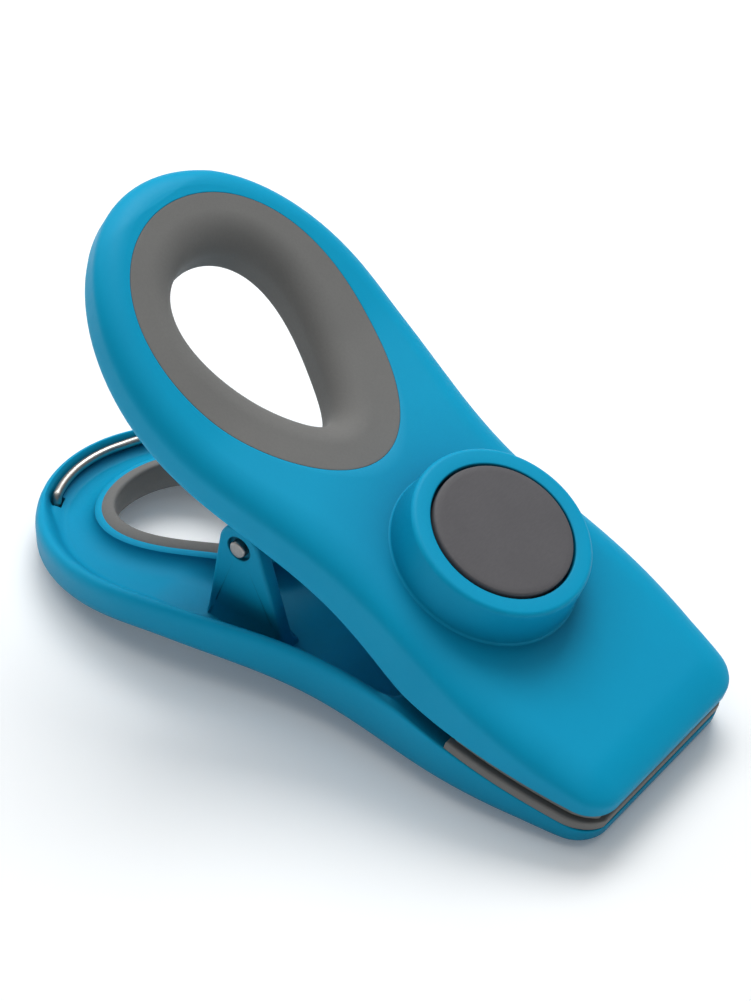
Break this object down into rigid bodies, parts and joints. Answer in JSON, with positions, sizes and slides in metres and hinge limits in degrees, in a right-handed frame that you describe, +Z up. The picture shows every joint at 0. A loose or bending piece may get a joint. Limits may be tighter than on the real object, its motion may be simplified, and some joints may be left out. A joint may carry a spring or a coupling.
{
  "type": "magnetic bag clip",
  "caption": "Spring bag clip with two hinged contoured halves, soft finger rings, soft jaw pads and a round magnet on a raised boss.",
  "frame": {"origin": "middle of the base of the clip's bounding box, as it rests on its lower half", "axes": "+X out of the jaws along the resting surface, +Y across the clip, +Z up"},
  "size_m": [0.1062, 0.0462, 0.0619],
  "materials": {
    "shell_plastic": "satin moulded polypropylene, process blue",
    "grip_rubber": "matte grey thermoplastic rubber",
    "ferrite": "dark grey sintered ferrite, ground flat",
    "adhesive": "cured epoxy",
    "pin_steel": "drawn steel, cut ends",
    "spring_wire": "bright nickel-plated spring wire"
  },
  "bodies": {
    "lower": {"lower_shell": "shell_plastic", "lower_grip": "grip_rubber", "lower_jaw_pad": "grip_rubber", "hinge_pin": "pin_steel", "torsion_spring": "spring_wire"},
    "upper": {"upper_shell": "shell_plastic", "upper_grip": "grip_rubber", "upper_jaw_pad": "grip_rubber", "magnet": "ferrite", "magnet_adhesive": "adhesive"}
  },
  "joints": [
    {"name": "jaw_hinge", "type": "hinge", "parent": "lower", "child": "upper", "pos_m": [-0.00829, 0, 0.021], "axis": [0, -1, 0], "range_deg": [0, 60], "stiffness_Nm_per_rad": 0.35, "springref_deg": -40.11, "deforming": ["torsion_spring"]}
  ]
}
